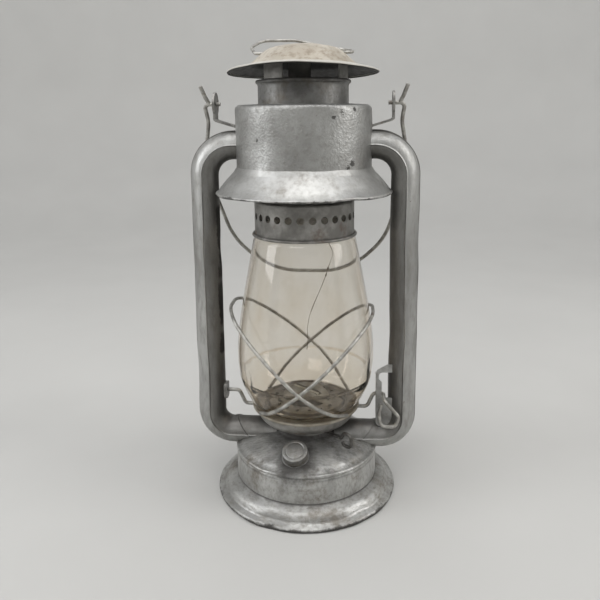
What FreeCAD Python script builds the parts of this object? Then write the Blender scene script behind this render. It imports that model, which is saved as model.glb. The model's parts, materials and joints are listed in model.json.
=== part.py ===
# Barn lantern: a tubular kerosene lantern whose globe plate and flue slide in a frame made of the
# fount, two air tubes and the air chamber. Millimetres, +Z up, front is -Y, origin at the base.
import FreeCAD
import Part
import math
import os

V = FreeCAD.Vector
os.makedirs("parts", exist_ok=True)

# ---- driving dimensions -------------------------------------------------------------------------
sheet_t = 0.8            # tinplate of shells, tubes and plates
slide_gap = 0.5          # radial room of parts that slide in each other
rest_gap = 0.35          # vertical room between a moving part and what carries it

rim_r = 71.7             # fount skirt, over its rolled rim
rim_bead_r = 1.7
skirt_top_z = 12.5
fount_r = 56.5
seam_z = 36.4
seam_bead_r = 1.3
dome_top_z = seam_z + 11.1
neck_r = 23.0

gallery_r = 39.5         # burner gallery, the cup above the fount
gallery_floor_z = dome_top_z + 10.0
gallery_top_z = gallery_floor_z + 10.7
plate_rim_r = 43.0       # globe plate, over its rolled rim
plate_bead_r = 1.2
deck_r = 31.0
deck_rise = 4.5
deck_hole_r = 20.6
deck_vent_r = 1.5
deck_vents = 18

globe_seat_r = 33.6      # outer radius of the glass at its foot
globe_belly_r = 54.6
globe_belly_z = 115.0
globe_top_z = 215.0
globe_top_r = 36.4
glass_t = 2.0

collar_r = 38.4          # perforated collar at the foot of the flue
collar_z = globe_top_z - 6.5
collar_h = 26.5
collar_bead_r = 1.2
collar_hole_z = collar_z + 15.1
collar_hole_r = 2.75
collar_holes = 27
flue_r = 34.0
flue_top_z = 321.5
flue_bead_r = 1.5

chamber_r = 51.4         # air chamber
chamber_top_z = 306.0
chamber_shoulder = 3.0
bell_top_z = 260.0
bell_r = chamber_r + 16.3
bell_z = bell_top_z - 19.0
bell_bead_r = 1.2

hood_r = 56.5
hood_z = flue_top_z + 9.5
hood_bead_r = 0.9
crown_r = hood_r - 16.5
crown_z = hood_z + 4.5
crown_top_z = hood_z + 19.0
post_w = 18.0
post_angles = (-128.0, -18.0, 100.0)

tube_x = 77.0            # air tubes: centre line of the upright
tube_w = 22.0
tube_d = 24.0
tube_top_z = bell_top_z + 16.5
tube_low_z = dome_top_z - 4.0
tube_top_bend = 23.0
tube_low_bend = 18.0
duct_split_x = fount_r - 8.5     # where a tube meets the duct pressed on the fount

wire_hoop_d = 2.6
wire_lift_d = 2.9
wire_bail_d = 3.0
wire_ring_d = 2.2
wire_spindle_d = 2.6
wire_gap = 0.08          # radial room of a wire turning in its hole

hoop_cross_z = globe_belly_z - 15.0
hoop_slope = 0.89
hoop_right_x = globe_belly_r - 0.1
hoop_left_x = globe_belly_r + 4.4
hoop_front_y = globe_belly_r + 2.9
hoop_foot_x = 33.6

lift_axis_z = gallery_top_z + 9.3
lift_throw = 35.0        # how far the lifting bow reaches in front of the lift axis
lift_stroke = 19.0

bail_pivot_x = tube_x - 10.0
bail_pivot_z = chamber_top_z + 1.0
bail_lean = 20.5         # degrees from straight down at which it rests on the tubes
bail_length = 151.0
bail_half_w = tube_x - 4.0

filler_angle = -97.0
filler_place_r = 41.5
filler_tilt = 26.0
filler_neck_r = 8.6
filler_neck_h = 6.0
cap_t = 0.9
cap_h = 6.3

spindle_angle = -37.0
spindle_z = gallery_floor_z - 4.9
wick_w = 25.0
wick_t = 2.6
wheel_r = 3.4
wick_gap = 0.45
cone_r = 18.5
cone_z = gallery_top_z + 5.8
cone_top_z = cone_z + 8.0


# ---- shapes -------------------------------------------------------------------------------------
def rounded(points, radii):
    """Wire of straight runs joined by tangent arcs, one radius for each inner point."""
    edges = []
    start = points[0]
    for here, ahead, radius in zip(points[1:-1], points[2:], radii):
        into = (start - here).normalize()
        out = (ahead - here).normalize()
        half = into.getAngle(out) / 2
        if radius <= 0 or half > math.pi / 2 - 0.001:
            edges.append(Part.LineSegment(start, here).toShape())
            start = here
            continue
        reach = radius / math.tan(half)
        a = here + into * reach
        b = here + out * reach
        middle = (into + out).normalize()
        centre = here + middle * (radius / math.sin(half))
        if (a - start).Length > 1e-4:
            edges.append(Part.LineSegment(start, a).toShape())
        edges.append(Part.Arc(a, centre - middle * radius, b).toShape())
        start = b
    if (points[-1] - start).Length > 1e-4:
        edges.append(Part.LineSegment(start, points[-1]).toShape())
    return Part.Wire(edges)


def outline(points, radii=None):
    """Open wire in the XZ plane through (radius, height) points."""
    radii = radii or [0] * (len(points) - 2)
    return rounded([V(r, 0, z) for r, z in points], radii)


def turned(face):
    """Full turn of a face about the Z axis."""
    return face.revolve(V(0, 0, 0), V(0, 0, 1), 360)


def turned_solid(points, radii=None):
    """Body of revolution inside a closed outline."""
    wire = outline(points + [points[0]], radii or [0] * (len(points) - 1))
    return turned(Part.Face(wire))


def sheet(points, radii=None, wall=sheet_t):
    """Shell of revolution: the outline is one skin, and the wall lies on its left as it is walked."""
    radii = radii or [0] * (len(points) - 2)
    runs = []
    for (r0, z0), (r1, z1) in zip(points, points[1:]):
        length = math.hypot(r1 - r0, z1 - z0)
        runs.append(((r1 - r0) / length, (z1 - z0) / length))
    other = [(points[0][0] - runs[0][1] * wall, points[0][1] + runs[0][0] * wall)]
    other_radii = []
    for (r, z), (ar, az), (br, bz), radius in zip(points[1:-1], runs, runs[1:], radii):
        cross = ar * bz - az * br
        share = wall / (1 + ar * br + az * bz)
        other.append((r - (az + bz) * share, z + (ar + br) * share))
        changed = radius - wall if cross > 0 else radius + wall
        other_radii.append(max(changed, 0) if radius > 0 else 0)
    other.append((points[-1][0] - runs[-1][1] * wall, points[-1][1] + runs[-1][0] * wall))
    near = outline(points, radii)
    far = outline(other, other_radii)
    ends = [Part.LineSegment(V(p[0], 0, p[1]), V(q[0], 0, q[1])).toShape()
            for p, q in ((points[0], other[0]), (points[-1], other[-1]))]
    loop = Part.Wire(Part.__sortEdges__(near.Edges + far.Edges + ends))
    return turned(Part.Face(loop))


def bead(ring_r, z, r):
    return Part.makeTorus(ring_r, r, V(0, 0, z))


def pipe(path, diameter):
    """Round wire along a path."""
    first = path.OrderedEdges[0]
    at = first.valueAt(first.FirstParameter)
    along = first.tangentAt(first.FirstParameter)
    circle = Part.Wire(Part.makeCircle(diameter / 2, at, along))
    return path.makePipeShell([circle], True, False)


def wire(points, radii, diameter):
    return pipe(rounded([V(*p) for p in points], radii), diameter)


def flowing(points, diameter):
    """Round wire whose bends are as large as the runs beside them allow."""
    at = [V(*p) for p in points]
    radii = []
    for before, here, ahead in zip(at, at[1:], at[2:]):
        into = before - here
        out = ahead - here
        turn = math.pi - into.getAngle(out)
        radii.append(0.45 * min(into.Length, out.Length) / math.tan(turn / 2))
    return pipe(rounded(at, radii), diameter)


def merged(first, *others):
    return first.fuse(list(others)).removeSplitter()


def disc(r, z, height):
    return Part.makeCylinder(r, height, V(0, 0, z))


def ring(outer, inner, z, height):
    return disc(outer, z, height).cut(disc(inner, z - 1, height + 2))


def around(shape, angle, centre=V(0, 0, 0)):
    turned_copy = shape.copy()
    turned_copy.rotate(centre, V(0, 0, 1), angle)
    return turned_copy


def mirrored(shape):
    return shape.mirror(V(0, 0, 0), V(1, 0, 0))


parts = {}

# ---- fount --------------------------------------------------------------------------------------
bead_centre = rim_r - rim_bead_r
bead_z = 1.4
skirt = sheet([(bead_centre + 0.6, bead_z + 1.2), (bead_centre - 1.5, 6.0),
               (fount_r + 6.5, 9.6), (fount_r, skirt_top_z), (fount_r, skirt_top_z + 1.5)],
              [5, 8, 1.5])
rim = bead(bead_centre, bead_z, rim_bead_r)
rim = rim.cut(Part.makeBox(200, 200, 10, V(-100, -100, -10)))
parts["base_skirt"] = merged(skirt, rim)

wall_foot_z = skirt_top_z + 1.5
parts["fount_wall"] = merged(ring(fount_r, fount_r - sheet_t, wall_foot_z, seam_z - wall_foot_z),
                             bead(fount_r - 0.9, seam_z - seam_bead_r, seam_bead_r))

plate_z = wall_foot_z + 3.0
parts["fount_bottom"] = disc(fount_r - sheet_t, plate_z, sheet_t)

dome_skin = [(neck_r, dome_top_z + 3), (neck_r, dome_top_z), (neck_r + 14, dome_top_z - 1.8),
             (fount_r - 5, seam_z + 3.6), (fount_r - 1.0, seam_z)]
dome_room = turned_solid(dome_skin + [(0, seam_z), (0, dome_top_z + 3)], [2, 20, 8, 0, 0, 0])
dome_shell = sheet(dome_skin[::-1], [8, 20, 2])

filler_axis = V(0, -math.sin(math.radians(filler_tilt)), math.cos(math.radians(filler_tilt)))
filler_axis = FreeCAD.Rotation(V(0, 0, 1), filler_angle + 90).multVec(filler_axis)
filler_at = V(filler_place_r, 0, dome_top_z - 4.3)
filler_at = FreeCAD.Rotation(V(0, 0, 1), filler_angle).multVec(filler_at)


def on_filler(r, low, high):
    """Cylinder on the filler's axis between two heights over its foot."""
    return Part.makeCylinder(r, high - low, filler_at + filler_axis * low, filler_axis)


fount_top = dome_shell.cut(on_filler(filler_neck_r, -8, 8)).cut(parts["fount_wall"])

# ---- air tubes and ducts ------------------------------------------------------------------------
tube_start_x = chamber_r - 3.5
tube_path = [V(tube_start_x, 0, tube_top_z), V(tube_x, 0, tube_top_z), V(tube_x, 0, tube_low_z),
             V(neck_r - 1, 0, tube_low_z)]
tube_line = rounded(tube_path, [tube_top_bend, tube_low_bend])


def tube_core(shrink):
    """Solid of the tube's oval section along its whole line."""
    oval = Part.Ellipse(V(tube_start_x, tube_d / 2 - shrink, tube_top_z),
                        V(tube_start_x, 0, tube_top_z + tube_w / 2 - shrink),
                        V(tube_start_x, 0, tube_top_z)).toShape()
    return tube_line.makePipeShell([Part.Wire(oval)], True, False)


tube_outer = tube_core(0)
tube_hollow = tube_outer.cut(tube_core(sheet_t))
slant = Part.makeBox(60, 60, 60, V(-60, -30, -30))
slant.rotate(V(0, 0, 0), V(0, 1, 0), 42)
slant.translate(V(duct_split_x, 0, tube_low_z))
duct_side = slant.common(Part.makeBox(60, 60, 60, V(0, -30, 20)))
fount_body = dome_room.fuse(disc(fount_r + 0.02, 0, seam_z))
side_tube = tube_hollow.cut(duct_side).cut(fount_body).cut(parts["fount_wall"])
duct = tube_hollow.common(duct_side).cut(fount_body).cut(disc(neck_r + 0.9, 30, 40))
tube_plug = tube_outer.fuse(mirrored(tube_outer))
parts["fount_top"] = fount_top
parts["duct_right"] = duct
parts["duct_left"] = mirrored(duct)
parts["side_tube_right"] = side_tube
parts["side_tube_left"] = mirrored(side_tube)

# ---- burner gallery and what stands in it -------------------------------------------------------
neck_foot_z = dome_top_z + 3
gallery = sheet([(neck_r, neck_foot_z), (neck_r, gallery_floor_z), (gallery_r - 5, gallery_floor_z),
                 (gallery_r - 1.2, gallery_floor_z + 4), (gallery_r, gallery_top_z)], [1.5, 4, 6])
notch_reach = gallery_r + 6
lift_notch = Part.makeBox(2 * notch_reach, 13.2, 8.0, V(-notch_reach, -10.2, gallery_top_z - 4.2))
spindle_dir = V(math.cos(math.radians(spindle_angle)), math.sin(math.radians(spindle_angle)), 0)
spindle_off = wick_t / 2 + rest_gap + wheel_r
spindle_at = V(0, 0, spindle_z) + V(spindle_dir.y, -spindle_dir.x, 0) * spindle_off


def on_spindle(r, low, high):
    """Cylinder on the wick spindle's axis between two distances from the lantern's axis."""
    return Part.makeCylinder(r, high - low, spindle_at + spindle_dir * low, spindle_dir)


spindle_hole_r = wire_spindle_d / 2 + wire_gap
gallery = gallery.cut(lift_notch).cut(on_spindle(spindle_hole_r, 10, 35))
parts["burner_gallery"] = gallery

wick_dir_angle = spindle_angle
tube_floor_z = spindle_z - 14
wick_room_t = wick_t + 2 * wick_gap
wick_room_w = wick_w + 2 * wick_gap


def flat_block(length, thick, low, high, angle=wick_dir_angle, off=0.0):
    """Upright slab whose length lies along the spindle."""
    slab = Part.makeBox(length, thick, high - low, V(-length / 2, off - thick / 2, low))
    return around(slab, angle)


sleeve = flat_block(wick_room_w + 2 * sheet_t, wick_room_t + 2 * sheet_t, tube_floor_z, cone_top_z - 1.5)
sleeve = sleeve.cut(flat_block(wick_room_w, wick_room_t, tube_floor_z - 1, cone_top_z))
wheel_window = flat_block(9, wick_room_t + 2 * sheet_t, spindle_z - 5, spindle_z + 5,
                          off=-(wick_room_t / 2 + sheet_t))
parts["wick_tube"] = sleeve.cut(wheel_window)

burner_floor_z = gallery_floor_z + sheet_t
burner_plate = disc(neck_r + 2.5, burner_floor_z, sheet_t)
sleeve_room = flat_block(wick_room_w + 2 * sheet_t, wick_room_t + 2 * sheet_t, 0, 100)
parts["burner_plate"] = burner_plate.cut(sleeve_room)
wick = flat_block(wick_w, wick_t, tube_floor_z - 8, cone_top_z - 0.5)
parts["wick"] = wick

spindle_reach = gallery_r + 1.0
key_w = 9.5
key_h = 5.0


def key_point(ahead, rise):
    """Point of the spindle's key, ahead of the straight shaft and over its axis."""
    p = spindle_at + spindle_dir * (spindle_reach + ahead)
    return (p.x, p.y, p.z + rise)


key_route = [key_point(-spindle_reach - 8, 0), key_point(0, 0), key_point(2.5, key_h),
             key_point(key_w, key_h), key_point(key_w, -key_h), key_point(2.5, -key_h),
             key_point(1.2, -2.6)]
parts["wick_spindle"] = wire(key_route, [2, 2.4, 3.2, 3.2, 2.4], wire_spindle_d)
parts["wick_wheel"] = on_spindle(wheel_r, -4, 4).cut(on_spindle(wire_spindle_d / 2, -9, 9))

cone_skin = [(cone_r, cone_z), (cone_r, cone_top_z - 4.2), (cone_r - 6.5, cone_top_z),
             (0, cone_top_z)]
cone = sheet(cone_skin, [3, 7])
flame_slot = flat_block(wick_w + 3, wick_t + 3.2, cone_z + 2, cone_top_z + 4)
stem_z = burner_floor_z + sheet_t
cone_stem = ring(cone_r, cone_r - sheet_t, stem_z, cone_z - stem_z)
stem_window = Part.makeBox(60, 16, 7, V(-30, -8, stem_z + 3))
stem = cone_stem.cut(around(stem_window, wick_dir_angle + 45)).cut(
    around(stem_window, wick_dir_angle + 135))
parts["burner_cone"] = cone.cut(flame_slot)
parts["burner_stem"] = stem

# ---- filler -------------------------------------------------------------------------------------
filler_neck = on_filler(filler_neck_r, -2, filler_neck_h).cut(
    on_filler(filler_neck_r - sheet_t, -3, filler_neck_h + 1))
filler_ring = on_filler(filler_neck_r + 1.9, -1.5, 1.4).cut(on_filler(filler_neck_r - 0.4, -2, 3))
filler_ring = filler_ring.cut(dome_room).cut(fount_top)
parts["filler_neck"] = merged(filler_neck, filler_ring)
gasket_t = 1.2
cap_in_r = filler_neck_r + wire_gap
cap_top = filler_neck_h + gasket_t
cap_low = cap_top + cap_t - cap_h
cap = on_filler(cap_in_r + cap_t, cap_low, cap_top + cap_t).cut(on_filler(cap_in_r, cap_low - 1, cap_top))
cap = cap.makeFillet(0.5, [e for e in cap.Edges if e.Curve.TypeId == "Part::GeomCircle"
                           and abs(e.Curve.Radius - cap_in_r - cap_t) < 0.01
                           and (e.Curve.Center - filler_at).dot(filler_axis) > cap_top])
parts["filler_cap"] = cap
parts["cap_gasket"] = on_filler(filler_neck_r - 0.1, filler_neck_h + 0.02, cap_top - 0.05)

# ---- globe plate, globe and guard wires ---------------------------------------------------------
plate_top = gallery_top_z + rest_gap + sheet_t
plate_skin = [(deck_hole_r, plate_top + deck_rise), (deck_r, plate_top + deck_rise),
              (deck_r, plate_top), (plate_rim_r - plate_bead_r, plate_top)]
plate = sheet(plate_skin[::-1], [0.8, 0.8])
for step in range(deck_vents):
    vent = disc(deck_vent_r, plate_top, 20).translated(V((deck_hole_r + deck_r) / 2, 0, 0))
    plate = plate.cut(around(vent, 360 / deck_vents * step))
plate_bead_z = plate_top - 0.1
parts["globe_plate"] = merged(plate, bead(plate_rim_r - plate_bead_r, plate_bead_z, plate_bead_r))

glass_skin = [(globe_seat_r, plate_top), (globe_seat_r + 10.4, plate_top + 5.2),
              (globe_belly_r - 2.8, globe_belly_z - 24.0), (globe_belly_r + 1.0, globe_belly_z - 1.0),
              (globe_belly_r - 4.2, globe_belly_z + 34.0), (globe_top_r + 3.2, globe_top_z - 9.5),
              (globe_top_r, globe_top_z - 6.3), (globe_top_r, globe_top_z)]
parts["globe"] = sheet(glass_skin, [14, 35, 120, 200, 6, 3], glass_t)


def guard_hoop(side, top_x, spread):
    """One guard wire: it climbs from the rim on one side to its top over the other."""
    def point(share, radius):
        climb = share * (top_x if share > 0 else hoop_foot_x)
        r = radius + spread * max(0, 1 - abs(climb) / 30)
        y = math.sqrt(r * r - climb * climb)
        return (side * climb, y, max(hoop_cross_z + hoop_slope * climb, plate_bead_z + 1.2))
    mid_r = (hoop_front_y + top_x) / 2
    route = [point(-1.0, plate_rim_r - 0.4), point(-0.72, 50.0), point(-0.42, 55.0),
             point(0.0, hoop_front_y + 0.8), point(0.3, hoop_front_y + 1.8),
             point(0.62, mid_r + 1.8), point(0.86, top_x + 1.2), point(0.98, top_x + 0.4)]
    front = [(x, -y, z) for x, y, z in route]
    return flowing(front + route[::-1], wire_hoop_d).cut(parts["globe_plate"])


parts["guard_hoop_right"] = guard_hoop(1, hoop_right_x, 0)
parts["guard_hoop_left"] = guard_hoop(-1, hoop_left_x, wire_hoop_d + 0.3)

# ---- globe lift ---------------------------------------------------------------------------------
bearing_r = wire_lift_d / 2 + wire_gap
lug_x = tube_x - tube_w / 2
bow_z = gallery_top_z + rest_gap - 1.1 - wire_lift_d / 2
loop_y = -(tube_d / 2 + wire_lift_d / 2 + 0.75)
turn_x = tube_x - 14.5
lever_bend_x = tube_x - 22.5
bow_x = gallery_r - 2.0
lever_half = [(-lug_x + 0.6, 0, lift_axis_z), (-lever_bend_x, 0, lift_axis_z),
              (5 - lever_bend_x, 0, bow_z), (-bow_x, 0, bow_z), (4.5 - bow_x, -15, bow_z),
              (-13, -lift_throw, bow_z)]
lever_route = lever_half + [(-x, y, z) for x, y, z in lever_half[:0:-1]]
lever_route += [(turn_x, 0, lift_axis_z), (turn_x, loop_y, lift_axis_z),
                (turn_x + 11.5, loop_y, lift_axis_z - 13), (turn_x + 9, loop_y, lift_axis_z - 21.5),
                (turn_x - 2.5, loop_y, lift_axis_z - 21.5), (turn_x - 4, loop_y, lift_axis_z - 10),
                (turn_x - 2, loop_y, lift_axis_z - 3.2)]
lever_radii = [4, 4, 4, 8, 14, 14, 8, 4, 4, 4, 3, 3.5, 4, 4, 4, 6]
parts["lift_lever"] = wire(lever_route, lever_radii, wire_lift_d)

lug = Part.makeBox(3.6, 9, 13, V(-lug_x - 1.5, -4.5, lift_axis_z - 6.5))
lug = lug.makeFillet(2.5, [e for e in lug.Edges if abs(e.tangentAt(0).x) > 0.9])
lug = lug.cut(Part.makeCylinder(bearing_r, 30, V(-lug_x - 5, 0, lift_axis_z), V(1, 0, 0)))
parts["lift_bracket_left"] = lug.cut(mirrored(tube_outer))

bracket_y = -7.0
bracket_t = 1.2
spine_x = tube_x - 20.7
bracket_low = lift_axis_z - 27.5
bracket_high = lift_axis_z + 24.5
face = Part.makeBox(14, bracket_t, bracket_high - bracket_low, V(spine_x, bracket_y, bracket_low))
window = Part.makeBox(20, 6, 9, V(spine_x + 4.4, bracket_y - 2, lift_axis_z + 10))
throat = Part.makeBox(20, 6, 11, V(spine_x + 4.4, bracket_y - 2, lift_axis_z - 3))
tab_gap = Part.makeBox(20, 6, 20, V(spine_x + 7.6, bracket_y - 2, lift_axis_z - 2.5))
flange = Part.makeBox(bracket_t, 11.5, bracket_high - bracket_low - 6,
                      V(spine_x, bracket_y, bracket_low + 4))
bearing = Part.makeCylinder(bearing_r, 10, V(spine_x - 4, 0, lift_axis_z), V(1, 0, 0))
bracket = merged(face.cut(window).cut(throat).cut(tab_gap), flange).cut(bearing)
parts["lift_bracket_right"] = bracket.cut(tube_outer)

# ---- flue, collar and hood ----------------------------------------------------------------------
collar_step_z = collar_z + collar_h
collar_wall = sheet([(collar_r, collar_z), (collar_r, collar_step_z),
                     (flue_r - sheet_t, collar_step_z)], [2])
for step in range(collar_holes):
    hole = Part.makeCylinder(collar_hole_r, 12, V(collar_r - 6, 0, collar_hole_z), V(1, 0, 0))
    collar_wall = collar_wall.cut(around(hole, 360 / collar_holes * step - 90))
parts["collar"] = merged(collar_wall, bead(collar_r + 0.9, collar_z, collar_bead_r))

flue_wall = ring(flue_r, flue_r - sheet_t, collar_step_z, flue_top_z - collar_step_z)
flue_bead = bead(flue_r, flue_top_z - flue_bead_r, flue_bead_r).cut(disc(flue_r - sheet_t, 0, 400))
parts["flue"] = merged(flue_wall, flue_bead)

hood_skin = [(hood_r - hood_bead_r, hood_z), (crown_r, crown_z), (crown_r - 13, crown_top_z - 3.6),
             (crown_r - 31, crown_top_z), (0, crown_top_z)]
hood = sheet(hood_skin, [6, 18, 40])
hood = merged(hood, bead(hood_r - hood_bead_r, hood_z + 0.4, hood_bead_r))
ring_foot_x = 24.5
ring_foot_z = crown_top_z - 6.4
ring_hole = Part.makeCylinder(wire_ring_d / 2 + wire_gap, 80, V(-40, 0, ring_foot_z), V(1, 0, 0))
parts["hood"] = hood.cut(ring_hole)

posts = []
hood_over = turned_solid(hood_skin + [(0, 400), (80, 400), (80, hood_z)], [6, 18, 40, 0, 0, 0, 0])
hood_under = disc(60, 300, 60).cut(hood_over).cut(hood)
for angle in post_angles:
    strap = Part.makeBox(20, post_w, 30, V(flue_r - 15, -post_w / 2, flue_top_z - 8))
    inside = ring(flue_r - sheet_t, flue_r - sheet_t - 1.1, 0, 400)
    posts.append(around(strap.common(inside).common(hood_under), angle))
parts["hood_posts"] = Part.makeCompound(posts)


def above_foot(x, y, rise):
    return (x, y, ring_foot_z + rise)


ring_bend_x = ring_foot_x + 11.5
ring_route = [above_foot(-ring_foot_x, 0, 0), above_foot(-ring_bend_x, 0, 0), above_foot(-40.5, 11, 5.5),
              above_foot(-34, 25, 12), above_foot(-8, 30, 12.5), above_foot(14, 28, 7.5),
              above_foot(30, 20, 4), above_foot(37, 9, 1.5), above_foot(ring_bend_x, 0, 0),
              above_foot(ring_foot_x, 0, 0)]
parts["lift_ring"] = wire(ring_route, [3, 8, 12, 25, 25, 14, 8, 3], wire_ring_d)

# ---- air chamber, its floor and the bell --------------------------------------------------------
chamber = sheet([(chamber_r, bell_top_z), (chamber_r, chamber_top_z),
                 (flue_r + slide_gap, chamber_top_z)], [chamber_shoulder])
parts["air_chamber"] = chamber.cut(tube_plug)
floor_z = bell_top_z + 1.6
parts["chamber_floor"] = ring(chamber_r - sheet_t, collar_r + 1.2, floor_z, sheet_t)
bell = sheet([(bell_r - bell_bead_r, bell_z), (60.3, bell_z + 8.2), (53.4, bell_top_z - 3.6),
              (chamber_r, bell_top_z)], [30, 8])
parts["bell"] = merged(bell, bead(bell_r - bell_bead_r, bell_z + 0.2, bell_bead_r)).cut(tube_plug)

# ---- ears and bail ------------------------------------------------------------------------------
ear_t = 1.6
ear_r = 8.8
ear_x = bail_pivot_x - ear_t / 2
strap_low = bail_pivot_z - 18.0
ear_side = [V(chamber_r - 1, 0, strap_low), V(ear_x, 0, strap_low + 4.8),
            V(ear_x + ear_t, 0, strap_low + 6.2), V(ear_x + ear_t, 0, bail_pivot_z + ear_r),
            V(ear_x, 0, bail_pivot_z + ear_r), V(ear_x, 0, strap_low + 7.0),
            V(ear_x - 0.8, 0, strap_low + 6.3), V(chamber_r - 1, 0, strap_low + ear_t + 0.1)]
ear = Part.Face(Part.makePolygon(ear_side + ear_side[:1])).extrude(V(0, 2 * ear_r, 0))
ear.translate(V(0, -ear_r, 0))
ear_shape = Part.makeCylinder(ear_r, 60, V(30, 0, bail_pivot_z), V(1, 0, 0))
ear_shape = ear_shape.fuse(Part.makeBox(60, 11, 20, V(30, -5.5, bail_pivot_z - 20)))
ear = ear.common(ear_shape).cut(disc(chamber_r, 0, 400))
ear = ear.cut(Part.makeCylinder(wire_bail_d / 2 + wire_gap, 40, V(50, 0, bail_pivot_z), V(1, 0, 0)))
parts["bail_ear_right"] = ear
parts["bail_ear_left"] = mirrored(ear)


def on_bail(x, along):
    """Point of the bail's plane, this far from its pivot line."""
    lean = math.radians(bail_lean)
    return (x, along * math.sin(lean), bail_pivot_z - along * math.cos(lean))


bail_half = [on_bail(ear_x - 3, 0), on_bail(bail_half_w + 2.6, 0), on_bail(bail_half_w + 0.6, 14),
             on_bail(bail_half_w + 4.4, 34), on_bail(bail_half_w + 2.5, 74),
             on_bail(bail_half_w - 9, 118), on_bail(bail_half_w - 39, bail_length)]
bail_route = bail_half + [(-x, y, z) for x, y, z in bail_half[::-1]]
bail_radii = [3.5, 30, 60, 90, 60, 55]
bail = wire(bail_route, bail_radii + bail_radii[::-1], wire_bail_d)
tail = wire([on_bail(bail_half_w - 1.5, 0), on_bail(bail_half_w + 1, -5), on_bail(bail_half_w + 4, -14)],
            [8], wire_bail_d)
parts["bail"] = merged(bail, tail, mirrored(tail))

# ---- write --------------------------------------------------------------------------------------
for name, shape in parts.items():
    shape.exportStep("parts/" + name + ".step")
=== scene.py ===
import json
import math

import bpy
from mathutils import Matrix, Vector


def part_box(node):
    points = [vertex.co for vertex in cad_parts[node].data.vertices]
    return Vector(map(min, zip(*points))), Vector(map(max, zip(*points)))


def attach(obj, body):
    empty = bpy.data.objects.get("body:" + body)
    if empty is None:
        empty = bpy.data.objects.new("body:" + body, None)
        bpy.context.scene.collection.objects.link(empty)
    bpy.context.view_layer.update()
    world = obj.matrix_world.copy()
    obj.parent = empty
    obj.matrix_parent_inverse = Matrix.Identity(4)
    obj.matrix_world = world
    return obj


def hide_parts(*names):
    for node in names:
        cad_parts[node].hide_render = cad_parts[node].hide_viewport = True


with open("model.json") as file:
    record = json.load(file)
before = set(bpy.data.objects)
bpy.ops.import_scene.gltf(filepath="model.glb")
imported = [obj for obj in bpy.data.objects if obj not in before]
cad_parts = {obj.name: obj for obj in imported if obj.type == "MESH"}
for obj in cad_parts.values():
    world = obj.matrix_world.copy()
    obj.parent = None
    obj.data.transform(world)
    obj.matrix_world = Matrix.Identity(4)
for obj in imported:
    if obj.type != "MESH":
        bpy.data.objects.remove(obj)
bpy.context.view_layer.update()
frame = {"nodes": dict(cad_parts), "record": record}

mm = 0.001
scene = bpy.context.scene
nodes = frame["nodes"]


# The stage: a pale floor that curves up all round, soft lamps, and the camera. None of it belongs
# to the lantern.
class Value:
    """A shader socket that Python's arithmetic can be written on."""

    def __init__(self, paint, socket):
        self.paint = paint
        self.socket = socket

    def do(self, operation, first, second):
        return self.paint.node("ShaderNodeMath", {"operation": operation}, {0: first, 1: second})

    def __add__(self, other):
        return self.do("ADD", self, other)

    def __radd__(self, other):
        return self.do("ADD", other, self)

    def __sub__(self, other):
        return self.do("SUBTRACT", self, other)

    def __rsub__(self, other):
        return self.do("SUBTRACT", other, self)

    def __mul__(self, other):
        return self.do("MULTIPLY", self, other)

    def __rmul__(self, other):
        return self.do("MULTIPLY", other, self)


class Paint:
    """One material: its node tree and the shader at its end."""

    def __init__(self, name, **constants):
        self.material = bpy.data.materials.new(name)
        self.material.use_nodes = True
        self.tree = self.material.node_tree
        self.shader = self.tree.nodes["Principled BSDF"]
        self.place = self.node("ShaderNodeTexCoord", output=3)
        self.z = self.node("ShaderNodeSeparateXYZ", inputs={0: self.place}, output=2)
        for socket, value in constants.items():
            self.shader.inputs[socket.replace("_", " ")].default_value = value

    def node(self, kind, settings=None, inputs=None, output=0):
        """Adds a node: its settings first, then the values or links of its sockets."""
        made = self.tree.nodes.new(kind)
        for name, value in (settings or {}).items():
            if name == "stops":
                ramp = made.color_ramp.elements
                for spare in range(len(value) - 2):
                    ramp.new(0.5)
                for stop, (at, colour) in zip(ramp, value):
                    stop.position = at
                    stop.color = colour if isinstance(colour, tuple) else (colour,) * 3 + (1,)
            else:
                setattr(made, name, value)
        for key, value in (inputs or {}).items():
            self.join(value, made.inputs[key])
        return Value(self, made.outputs[output])

    def join(self, value, socket):
        if isinstance(value, Value):
            self.tree.links.new(value.socket, socket)
        else:
            socket.default_value = value

    def noise(self, scale, detail=3, roughness=0.5, stretch=(1, 1, 1)):
        """Noise with this many features to a metre."""
        at = self.node("ShaderNodeMapping", inputs={"Vector": self.place, "Scale": stretch})
        return self.node("ShaderNodeTexNoise", inputs={
            "Vector": at, "Scale": scale, "Detail": detail, "Roughness": roughness})

    def ramp(self, value, low, high, bottom=0.0, top=1.0):
        """Smooth step from bottom to top as the value goes from low to high."""
        return self.node("ShaderNodeMapRange", {"interpolation_type": "SMOOTHSTEP"}, {
            "Value": value, "From Min": low, "From Max": high, "To Min": bottom, "To Max": top})

    def mix(self, share, first, second):
        """Colour between two colours."""
        return self.node("ShaderNodeMix", {"data_type": "RGBA"}, {
            0: share, 6: first, 7: second}, output=2)

    def larger(self, first, second):
        return self.node("ShaderNodeMath", {"operation": "MAXIMUM"}, {0: first, 1: second})

    def away(self, x, y, z):
        """Distance from a point given in millimetres."""
        return self.node("ShaderNodeVectorMath", {"operation": "DISTANCE"}, {
            0: self.place, 1: (x * mm, y * mm, z * mm)}, 1)

    def feed(self, **sockets):
        for name, value in sockets.items():
            self.join(value, self.shader.inputs[name.replace("_", " ")])
        return self.material

    def bump(self, height, strength, distance, below=None):
        inputs = {"Height": height, "Strength": strength, "Distance": distance}
        if below is not None:
            inputs["Normal"] = below
        return self.node("ShaderNodeBump", inputs=inputs)


def nothing_selected():
    if bpy.context.object and bpy.context.object.mode != "OBJECT":
        bpy.ops.object.mode_set(mode="OBJECT")
    bpy.ops.object.select_all(action="DESELECT")


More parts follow.
